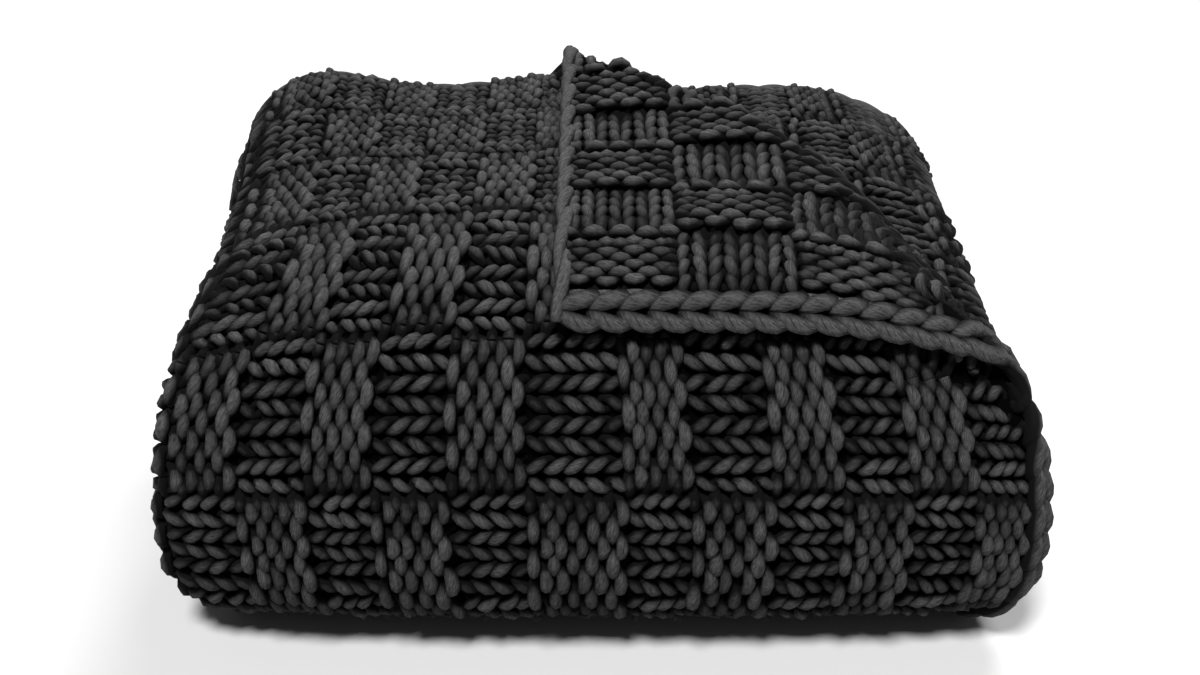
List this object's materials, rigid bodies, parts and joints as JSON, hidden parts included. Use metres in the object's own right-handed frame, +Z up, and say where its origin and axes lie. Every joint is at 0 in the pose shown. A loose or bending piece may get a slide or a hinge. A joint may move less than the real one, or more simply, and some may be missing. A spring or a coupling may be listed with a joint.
{
  "type": "knit throw",
  "caption": "Chunky basketweave knit throw, folded into a soft pile with one corner of its top layer turned over.",
  "frame": {"origin": "on the surface that the pile rests on, under the middle of its box", "axes": "+X along the pile's long side, to the side of the turned-over corner; +Y from the rounded front to the open back; +Z up"},
  "size_m": [0.5262, 0.343, 0.2676],
  "materials": {
    "charcoal_yarn": "matt bulky yarn, charcoal grey"
  },
  "bodies": {
    "root": {"throw": "charcoal_yarn"}
  },
  "joints": []
}
